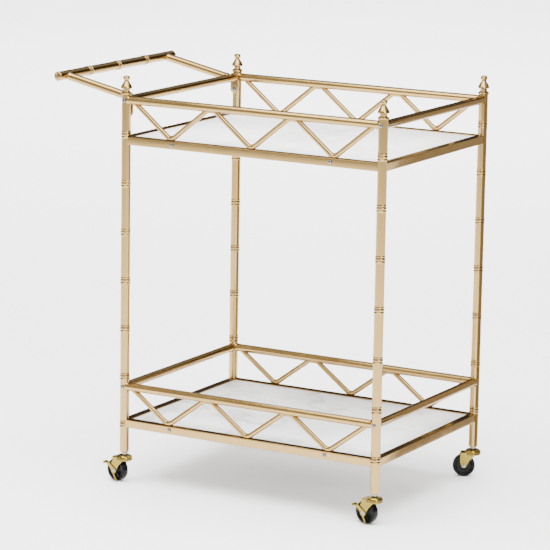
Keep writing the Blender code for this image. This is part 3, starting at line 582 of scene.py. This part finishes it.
# %% Handle frame and grip
TAB_THICKNESS, TAB_HALF, TAB_DROP = 0.003, 0.0085, 0.033
ARM_INSET = 0.027
tab_outer = SPAN_Y / 2 - POST_RADIUS - GAP
tab_middle = tab_outer - TAB_THICKNESS / 2
hinge = np.array([CART_X - SPAN_X / 2, 0.0, RAIL_Z["upper"]])
tab_top = [(TAB_HALF, 0.006), (0.006, RAIL_RADIUS + 0.0004), (0, RAIL_RADIUS + 0.0008),
           (-0.006, RAIL_RADIUS + 0.0004), (-TAB_HALF, 0.006)]
tab_outline = np.concatenate([tab_top, arc(TAB_HALF, 180, 360, 14) + [0, TAB_HALF - TAB_DROP]])
handle_shapes = []
stations = np.array([-tab_middle, -tab_middle + 0.002, -tab_middle + 0.004, -0.10, 0.10,
                     tab_middle - 0.004, tab_middle - 0.002, tab_middle])
flare = RAIL_RADIUS + FILLET * np.exp(-(tab_middle - np.abs(stations)) / FILLET_REACH)
rail_line = hinge + np.stack([0 * stations, stations, 0 * stations], axis=1)
handle_shapes.append(tube(rail_line, np.minimum(flare, TAB_HALF + 0.0001), (0, 0, 1), ROUND_RAIL))
for sign in SIDES.values():
    handle_shapes.append(moved(plate(tab_outline, TAB_THICKNESS), at(hinge + [0, sign * tab_middle, 0])))
    aside = np.array([0, sign * (SPAN_Y / 2 - ARM_INSET), 0])
    foot, top = hinge + aside, GRIP + aside
    length = np.linalg.norm(top - foot)
    climb = (top - foot) / length
    distance = np.array([0.002, 0.0085, 0.0095, 0.011, 0.014, 0.06, length - 0.016, length - 0.012,
                         length - 0.0105, length - 0.0095, length - 0.003])
    from_joint = np.minimum(np.abs(distance - 0.008), np.abs(length - 0.009 - distance))
    swell = RAIL_RADIUS + FILLET * np.exp(-from_joint / FILLET_REACH)
    swell[[0, -1]] = RAIL_RADIUS * 0.7
    handle_shapes.append(tube(foot + distance[:, None] * climb, swell, (0, 1, 0), ROUND_RAIL))
piece("handle frame", gather(*handle_shapes), "champagne_gold", stands_for=["handle_frame"])

TURN_TO_Y = Matrix.Rotation(-pi / 2, 4, "X")
grip_rings = [-GRIP_RING_STEP, 0.0, GRIP_RING_STEP]
profile, shade_amounts = jointed_tube(-GRIP_HALF, GRIP_HALF, grip_rings, POST_RADIUS, GRIP_WALL)
jointed_piece("handle grip", profile, shade_amounts, at(GRIP, TURN_TO_Y), ["handle_grip"])
cap_profile = soften([(0.0004, 0.0040), (0.0040, 0.0039), (0.0078, 0.0030), (0.0090, 0.0018),
                      (0.0092, 0.0010), (0.0092, 0.0006), (0.0088, 0.0003), (0.0074, 0.0003),
                      (0.0074, -0.0098), (0.0004, -0.0100)], 0.0008, 5)
for side, sign in SIDES.items():
    turn = Matrix.Rotation(-sign * pi / 2, 4, "X")
    shape = moved(turned(cap_profile, ROUND_POST), at(GRIP + [0, sign * GRIP_HALF, 0], turn))
    # Painted shade darkens the cap's underside where it steps onto the grip.
    piece(f"grip cap {side}", shape, "champagne_gold", stands_for=[f"grip_cap_{side}"],
          painted_shade=np.repeat(0.8 * bell(cap_profile[:, 1], 0.0003, 0.0004), ROUND_POST))
print("handle: frame, grip and two caps")

# %% [markdown]
# ## Trays
#
# A tray is one length of square tube, cut at 45 degrees and welded into a rectangle, with a thin
# strip inside it as a ledge. The tube's own corners are rolled to about 1.5 mm, which is why a
# bright line runs along every edge. The same section is carried round the four mitred corners: its
# points are placed at the inset they have from the rectangle, on each corner's diagonal.
#
# The marble board drops in from above and rests on the ledge. Its top is 1.5 mm below the frame's
# top, and a dark gap shows all round it. Its top edges are eased so they don't chip.

# %% Trays
EDGE, BOARD_EDGE, BOARD_ROOM = 0.0015, 0.0006, 0.0015
LEDGE_REACH, LEDGE_TOP, LEDGE_LOW = 0.024, 0.0050, 0.0035
tube_section = [(0, 0), (0, TRAY_TUBE), (-TRAY_TUBE, TRAY_TUBE), (-TRAY_TUBE, LEDGE_TOP),
                (-LEDGE_REACH, LEDGE_TOP), (-LEDGE_REACH, LEDGE_LOW), (-TRAY_TUBE, LEDGE_LOW),
                (-TRAY_TUBE, 0)]
section = soften(tube_section, [EDGE, EDGE, EDGE, 0.0004, 0.0003, 0.0003, 0.0004, EDGE], 5, loop=True)
corner_signs = np.array([(-1, -1), (1, -1), (1, 1), (-1, 1)])


def mitred_frame(bottom):
    """The section carried round a rectangle: a ring of section points on each corner's diagonal."""
    inset, height = section[:, 0], section[:, 1]
    x = CART_X + corner_signs[:, :1] * (OUTER_X + inset)
    y = corner_signs[:, 1:] * (OUTER_Y + inset)
    z = np.broadcast_to(bottom + height, x.shape)
    return lattice(np.stack([x, y, z], axis=-1), loop=True)


for level, bottom in TRAY_BOTTOM.items():
    piece(f"tray frame {level}", mitred_frame(bottom), "champagne_gold",
          stands_for=[f"tray_frame_{level}"])
    half_x, half_y = OUTER_X - TRAY_TUBE - BOARD_ROOM, OUTER_Y - TRAY_TUBE - BOARD_ROOM
    low = (CART_X - half_x, -half_y, bottom + LEDGE_TOP + GAP)
    high = (CART_X + half_x, half_y, bottom + LEDGE_TOP + GAP + BOARD_THICKNESS)
    piece(f"marble board {level}", rounded_block(low, high, BOARD_EDGE), "white_marble",
          stands_for=[f"marble_panel_{level}"], finish=MARBLE[level])
print("section points:", len(section))

# %% [markdown]
# ## Screws
#
# Pan-head machine screws with a cross recess. The head is a dome, and the recess is pressed into
# it: at a point (x, y) of the head, the depth taken away is the larger of two bars crossed at the
# middle, each falling off smoothly across its width and at its ends, and deepest at the centre.

# %% Screws
HEAD_RADIUS, HEAD_HEIGHT, HEAD_SIDES = 0.0042, 0.0022, 72
RECESS_DEPTH, RECESS_REACH = 0.0013, 0.0025
BAR_SIDE, BAR_END = (-0.00062, -0.00040), (-RECESS_REACH, -0.0019)
SHADE = 0.85                      # painted shade round the rim and down the shank
POST_SHANK, TAB_SHANK, FRAME_SHANK = (0.0024, 0.034), (0.0020, 0.010), (0.0018, 0.011)
TAB_SCREW_DROP, FRAME_SCREW_X, FRAME_SCREW_Z = 0.024, 0.173, 0.009
SCREW_COUNT, TWIST_STEP = 18, 37


def smooth_step(value, low, high):
    """0 below low, 1 above high, and a smooth curve between them."""
    t = np.clip((value - low) / (high - low), 0, 1)
    return t * t * (3 - 2 * t)


def screw(shank, length):
    """The head's polar grid, from its centre out, then over its rim and down the shank."""
    angle = np.linspace(0, 2 * pi, HEAD_SIDES, endpoint=False)
    r = np.concatenate([np.linspace(0.02, 0.72, 20), np.linspace(0.76, 1.0, 9)])[:, None] * HEAD_RADIUS
    x, y = r * np.cos(angle), r * np.sin(angle)
    dome = HEAD_HEIGHT * (1 - 0.30 * (r / HEAD_RADIUS) ** 2) * np.sqrt(
        np.clip(1 - (r / HEAD_RADIUS / 1.0001) ** 10, 0, 1)) + 0 * angle
    bar_x = smooth_step(-np.abs(y), *BAR_SIDE) * smooth_step(-np.abs(x), *BAR_END)
    bar_y = smooth_step(-np.abs(x), *BAR_SIDE) * smooth_step(-np.abs(y), *BAR_END)
    recess = np.maximum(bar_x, bar_y)
    dome -= recess * RECESS_DEPTH * (1 - 0.5 * r / RECESS_REACH)
    head = np.stack([x, y, dome], axis=-1)
    under = [(HEAD_RADIUS * 0.97, 0.0), (shank, 0.0), (shank, -length)]
    rings = np.array([np.stack([k * np.cos(angle), k * np.sin(angle), h + 0 * angle], -1) for k, h in under])
    # Painted shade: the finish darkens in the cross recess, towards the head's rim and down the shank.
    rim = SHADE * smooth_step(r, 0.80 * HEAD_RADIUS, 0.97 * HEAD_RADIUS)
    shade_amounts = np.concatenate([np.maximum(recess, rim).ravel(), np.full(len(under) * HEAD_SIDES, SHADE)])
    return lattice(np.concatenate([head, rings])), shade_amounts


def place_screw(name, node, seat, outward, shank, twist):
    """A screw with its head on its seat, facing along outward times Y; shank is (radius, length)."""
    shape, shade_amounts = screw(*shank)
    turn = Matrix.Rotation(-outward * pi / 2, 4, "X") @ Matrix.Rotation(radians(twist), 4, "Z")
    piece(name, moved(shape, at(seat, turn)), "zinc_steel", stands_for=[node], painted_shade=shade_amounts)


twists = iter((np.arange(SCREW_COUNT) * TWIST_STEP % 90).tolist())
for corner, place in POSTS.items():
    outward = np.sign(place[1])
    for level, z in RAIL_Z.items():
        seat = place + [0, outward * (POST_RADIUS + GAP), z]
        place_screw(f"post screw {level} {corner}", f"post_screw_{level}_{corner}", seat, outward,
                    POST_SHANK, next(twists))
for side, sign in SIDES.items():
    seat = hinge + [0, sign * (tab_outer - TAB_THICKNESS - GAP), -TAB_SCREW_DROP]
    place_screw(f"tab screw {side}", f"tab_screw_{side}", seat, -sign, TAB_SHANK, next(twists))
    for level, bottom in TRAY_BOTTOM.items():
        for end, end_sign in ENDS.items():
            seat = (CART_X + end_sign * FRAME_SCREW_X, sign * (OUTER_Y + GAP), bottom + FRAME_SCREW_Z)
            place_screw(f"frame screw {level} {side} {end}", f"frame_screw_{level}_{side}_{end}",
                        seat, sign, FRAME_SHANK, next(twists))
print("screws:", SCREW_COUNT)

# %% [markdown]
# ## Casters
#
# A small furniture caster has four parts that matter. A **stem** pushes into the post and ends in a
# king pin. A **fork**, pressed from one brass-plated sheet, hangs from the pin by a domed ball race
# and trails behind it, so that the wheel follows. A moulded **wheel** turns on a riveted axle. The
# front casters add a **brake**: a plate that rocks on the axle, with a tab to step on and a foot
# that lifts it again.
#
# Each part is drawn in the caster's own frame, with X the way it trails and Z up the pivot, then
# turned to where the caster points and moved under its post.

# %% Caster parts
FORK_HALF, FORK_SHEET = 0.010, 0.0015
BRAKE_SHEET, BRAKE_HALF, BRAKE_BOSS, BRAKE_WAIST = 0.0016, 0.0035, 0.005, 0.0075
TAB_ANGLE, TAB_REACH, TAB_STANDOUT = 37, 0.0245, 0.0080
FOOT_ANGLE, FOOT_REACH, FOOT_START, FOOT_STANDOUT = -112, 0.0205, 0.0060, 0.0060


def stem():
    """The spigot in the post, the neck that shows below it, and the king pin with its riveted end."""
    return turned(soften([
        (0.0004, 0.0842), (0.0068, 0.0842), (0.0074, 0.0834), (0.0074, 0.0621), (0.0081, 0.0620),
        (0.0082, 0.0617), (0.0081, 0.0614), (0.0066, 0.0610), (0.0058, 0.0604), (0.0058, 0.0564),
        (0.0034, 0.0563), (0.0034, 0.0438), (0.0052, 0.0437), (0.0049, 0.0424), (0.0030, 0.0421),
        (0.0004, 0.0420)], 0.0004, 3))


def fork():
    """Two legs, a top plate with rounded edges, and the race: a dome over a beaded cup."""
    leg = soften([
        (-0.0040, 0.0496), (-0.0040, 0.0440), (0.0005, 0.0392), (0.0068, 0.0330), (0.0120, 0.0236),
        (0.0135, 0.0196), (0.0175, 0.0172), (0.0222, 0.0192), (0.0247, 0.0260), (0.0262, 0.0340),
        (0.0258, 0.0430), (0.0240, 0.0496)], 0.0034, 5, loop=True)
    leg_y = FORK_HALF - FORK_SHEET / 2
    legs = [moved(plate(leg, FORK_SHEET), at((0, sign * leg_y, 0))) for sign in (-1, 1)]
    top = rounded_block((-0.0040, -FORK_HALF, 0.0482), (0.0240, FORK_HALF, 0.0500), 0.0008)
    race = turned(soften([
        (0.0038, 0.0559), (0.0088, 0.0560), (0.0118, 0.0552), (0.0146, 0.0532), (0.0159, 0.0511),
        (0.0162, 0.0497), (0.0159, 0.0491), (0.0152, 0.0487), (0.0152, 0.0481), (0.0159, 0.0477),
        (0.0162, 0.0469), (0.0159, 0.0455), (0.0148, 0.0444), (0.0108, 0.0440), (0.0038, 0.0440)],
        0.0009, 5), 64, loop=True)
    return gather(*legs, top, race)


def wheel():
    """One closed profile: bore, boss, sunk web, rim and a tread with a slight crown."""
    half = [(0.0029, 0.0076), (0.0060, 0.0077), (0.0066, 0.0070), (0.0070, 0.0050), (0.0148, 0.0046),
            (0.0160, 0.0056), (0.0166, 0.0074), (0.0193, 0.0077), (0.0215, 0.0070), (0.0223, 0.0052),
            (0.0225, 0.0020)]
    profile = half + [(r, -h) for r, h in half[::-1]]
    return moved(turned(soften(profile, 0.0010, 4, loop=True), 96, loop=True), TURN_TO_Y)


def axle(braked):
    """A rivet through both legs; on a braked caster it is longer on the lever's side."""
    inner = FORK_HALF + GAP
    outer = inner + (BRAKE_SHEET + GAP if braked else 0.0)
    profile = soften([
        (0.0003, outer + 0.0014), (0.0020, outer + 0.0013), (0.0036, outer + 0.0006), (0.0040, outer),
        (0.0025, outer), (0.0025, -inner), (0.0040, -inner), (0.0036, -inner - 0.0006),
        (0.0020, -inner - 0.0013), (0.0003, -inner - 0.0014)], 0.0005, 3)
    return moved(turned(profile, 40), TURN_TO_Y)


def brake():
    """A plate with a rolled tab and a flanged foot, in the frame of the axle."""
    def polar(reach, degrees, aside=0.0):
        """The point (x, z) at a reach along an angle, and aside from it to the left."""
        a = radians(degrees)
        return (reach * cos(a) - aside * sin(a), reach * sin(a) + aside * cos(a))

    tab_tip, foot_tip = TAB_REACH - 0.0010, FOOT_REACH - 0.0001
    outline = [polar(BRAKE_BOSS, TAB_ANGLE, BRAKE_HALF), polar(tab_tip, TAB_ANGLE, BRAKE_HALF),
               polar(tab_tip, TAB_ANGLE, -BRAKE_HALF), polar(0.0112, TAB_ANGLE, -BRAKE_HALF)]
    outline += arc(BRAKE_WAIST, 0, -65, 9).tolist()
    outline += [polar(foot_tip, FOOT_ANGLE, BRAKE_HALF), polar(foot_tip, FOOT_ANGLE, -BRAKE_HALF),
                polar(BRAKE_BOSS, FOOT_ANGLE, -BRAKE_HALF)]
    outline += arc(BRAKE_BOSS, -170, -240, 4).tolist()
    sector = plate(soften(outline, 0.0008, 4, loop=True), BRAKE_SHEET)
    inside = -BRAKE_SHEET / 2
    flange = rounded_block((FOOT_START, inside, -BRAKE_HALF),
                           (FOOT_REACH, FOOT_STANDOUT, BRAKE_SHEET - BRAKE_HALF), 0.0005)
    foot = moved(flange, Matrix.Rotation(-radians(FOOT_ANGLE), 4, "Y"))
    rolled = soften([(0.0026, inside), (0.0026, TAB_STANDOUT), (0.0014, TAB_STANDOUT), (0.0014, inside)],
                    0.0003, 3, loop=True)
    across, up = polar(TAB_REACH, TAB_ANGLE)
    roll = moved(turned(rolled, 40, loop=True), at((across, 0, up), TURN_TO_Y))
    return gather(sector, foot, roll)


# %% Casters in place
for corner, place in POSTS.items():
    swivel = Matrix.Rotation(radians(SWIVEL[corner]), 4, "Z")
    pivot = at(place, swivel)
    hub = pivot @ at((TRAIL, 0, WHEEL_RADIUS))
    braked = corner.startswith("front")
    piece(f"caster stem {corner}", moved(stem(), pivot), "zinc_steel",
          stands_for=[f"caster_stem_{corner}"])
    piece(f"caster fork {corner}", moved(fork(), pivot), "polished_brass", f"{corner}_fork",
          [f"caster_fork_{corner}"])
    piece(f"caster wheel {corner}", moved(wheel(), hub), "black_wheel", f"{corner}_wheel",
          [f"caster_wheel_{corner}"])
    piece(f"caster axle {corner}", moved(axle(braked), hub), "zinc_steel", f"{corner}_fork",
          [f"caster_axle_{corner}"])
    if braked:
        seat = hub @ at((0, FORK_HALF + GAP + BRAKE_SHEET / 2, 0))
        piece(f"brake lever {corner}", moved(brake(), seat), "polished_brass", f"{corner}_brake",
              [f"brake_lever_{corner}"])
print("casters: 4, two of them braked")

# %% [markdown]
# ## Floor and light
#
# A plain pale floor runs out past the picture's edge. Polished tube shows what stands around it, so
# its surroundings give the gold its shape. At the horizon the sky is bright and warm in front of
# the cart and dark behind it, which puts the darker bands beside the highlights. A broad panel
# hangs overhead, a second one stands at the right and a weak one at the front left. A warm grey
# card near the right end gives the faces of the frames there their tan tone. Two more panels only
# brighten the floor, the boards and the background: the metal doesn't reflect them.

# %% Floor and light
def stage_floor():
    """A wide matt floor whose grey drifts very slightly."""
    made, shader, add, link = node_maker("pale floor")
    place = add("ShaderNodeTexCoord").outputs["Object"]
    drift = add("ShaderNodeTexNoise", Scale=1.5, Detail=3.0)
    link(place, drift.inputs["Vector"])
    link(ramp(add, link, drift.outputs["Fac"], [(0.3, 0.86), (0.7, 0.88)]), shader.inputs["Base Color"])
    shader.inputs["Roughness"].default_value = 0.6
    mesh = bpy.data.meshes.new("floor")
    far = 60.0
    mesh.from_pydata([(-far, -far, 0), (far, -far, 0), (far, far, 0), (-far, far, 0)], [], [(0, 1, 2, 3)])
    mesh.materials.append(made)
    floor = bpy.data.objects.new("floor", mesh)
    bpy.context.scene.collection.objects.link(floor)


def soft_panel(name, place, target, size, power):
    """A rectangular area light that faces its target."""
    light = bpy.data.lights.new(name, "AREA")
    light.shape = "RECTANGLE"
    light.size, light.size_y = size
    light.energy = power
    lamp = bpy.data.objects.new(name, light)
    lamp.location = place
    lamp.rotation_euler = (Vector(target) - Vector(place)).to_track_quat("-Z", "Y").to_euler()
    bpy.context.scene.collection.objects.link(lamp)
    return lamp


def grey_flag(place, half_width, height):
    """A warm grey card that stands on the floor across X and is seen only in reflections."""
    made, shader, add, link = node_maker("grey flag")
    shader.inputs["Base Color"].default_value = (0.02, 0.018, 0.015, 1)
    shader.inputs["Roughness"].default_value = 0.9
    shader.inputs["Emission Color"].default_value = (1.0, 0.86, 0.70, 1)
    shader.inputs["Emission Strength"].default_value = 0.55
    mesh = bpy.data.meshes.new("grey flag")
    corners = [(-half_width, 0, 0), (half_width, 0, 0), (half_width, 0, height), (-half_width, 0, height)]
    mesh.from_pydata(corners, [], [(0, 1, 2, 3)])
    mesh.materials.append(made)
    flag = bpy.data.objects.new("grey_flag", mesh)
    flag.location = place
    flag.rotation_euler = (0, 0, pi / 2)
    flag.visible_camera = flag.visible_diffuse = flag.visible_shadow = False
    bpy.context.scene.collection.objects.link(flag)


SKY_TOP = (0.80, 0.80, 0.80)
HORIZON_IN_FRONT, HORIZON_BEHIND = (0.95, 0.88, 0.80), (0.075, 0.062, 0.050)


def studio_sky():
    """A sky with a bright horizon in front of the cart and a dark one behind it."""
    world = bpy.data.worlds.new("studio")
    bpy.context.scene.world = world
    world.use_nodes = True
    tree = world.node_tree
    backdrop = tree.nodes["Background"]
    place = tree.nodes.new("ShaderNodeTexCoord")
    split = tree.nodes.new("ShaderNodeSeparateXYZ")
    tree.links.new(place.outputs["Generated"], split.inputs["Vector"])

    def rise(horizon):
        """The sky's colour from the horizon up to the pale top."""
        sky = tree.nodes.new("ShaderNodeValToRGB")
        sky.color_ramp.elements[0].position = 0.42
        sky.color_ramp.elements[0].color = (*horizon, 1)
        sky.color_ramp.elements[1].position = 0.62
        sky.color_ramp.elements[1].color = (*SKY_TOP, 1)
        tree.links.new(split.outputs["Z"], sky.inputs["Fac"])
        return sky.outputs["Color"]

    depth = tree.nodes.new("ShaderNodeMapRange")
    depth.inputs["From Min"].default_value = -0.3
    depth.inputs["From Max"].default_value = 0.4
    tree.links.new(split.outputs["Y"], depth.inputs["Value"])
    both = tree.nodes.new("ShaderNodeMix")
    both.data_type = "RGBA"
    tree.links.new(depth.outputs["Result"], both.inputs["Factor"])
    tree.links.new(rise(HORIZON_IN_FRONT), both.inputs[6])
    tree.links.new(rise(HORIZON_BEHIND), both.inputs[7])
    tree.links.new(both.outputs[2], backdrop.inputs["Color"])
    backdrop.inputs["Strength"].default_value = 0.9


stage_floor()
grey_flag((CART_X + 0.425, 0.65, 0.002), 0.55, 0.9)
studio_sky()
soft_panel("overhead", (0.2, -0.8, 2.5), (CART_X, 0.0, 0), (2.6, 2.0), 110)
soft_panel("right side", (2.7, -1.5, 1.9), (1.1, -0.9, 0), (0.8, 2.0), 55)
soft_panel("front left", (-2.6, -2.4, 1.5), (CART_X, 0, 0.35), (0.7, 1.6), 12)
wash = soft_panel("backdrop wash", (-3.4, 7.0, 5.0), (-4.2, 8.4, 0), (9.0, 10.0), 2600)
fill = soft_panel("wide fill", (0.0, -0.6, 5.0), (CART_X, 0.4, 0), (6.0, 6.0), 1100)
for lamp in (wash, fill):
    lamp.visible_glossy = False
print("lights: 5, the sky and a card")

# %% [markdown]
# ## Camera
#
# A long lens from the front right, a little above the upper tray, looking slightly down.

# %% Camera
SENSOR_WIDTH, FOCAL_LENGTH = 36.0, 193.36
CAMERA_PLACE = (2.7717 + CART_X, -4.9764, 1.5620)
CAMERA_RIGHT, CAMERA_UP = Vector((0.86715, 0.49779, 0.01613)), Vector((-0.11215, 0.16360, 0.98013))


def stage_camera():
    """The camera looks against the cross product of its right and its up."""
    lens = bpy.data.cameras.new("camera")
    lens.sensor_width = SENSOR_WIDTH
    lens.lens = FOCAL_LENGTH
    camera = bpy.data.objects.new("camera", lens)
    back = CAMERA_RIGHT.cross(CAMERA_UP)
    turn = Matrix((CAMERA_RIGHT, CAMERA_UP, back)).transposed().to_4x4()
    camera.matrix_world = at(CAMERA_PLACE, turn)
    bpy.context.scene.collection.objects.link(camera)
    bpy.context.scene.camera = camera


stage_camera()
print("camera set")
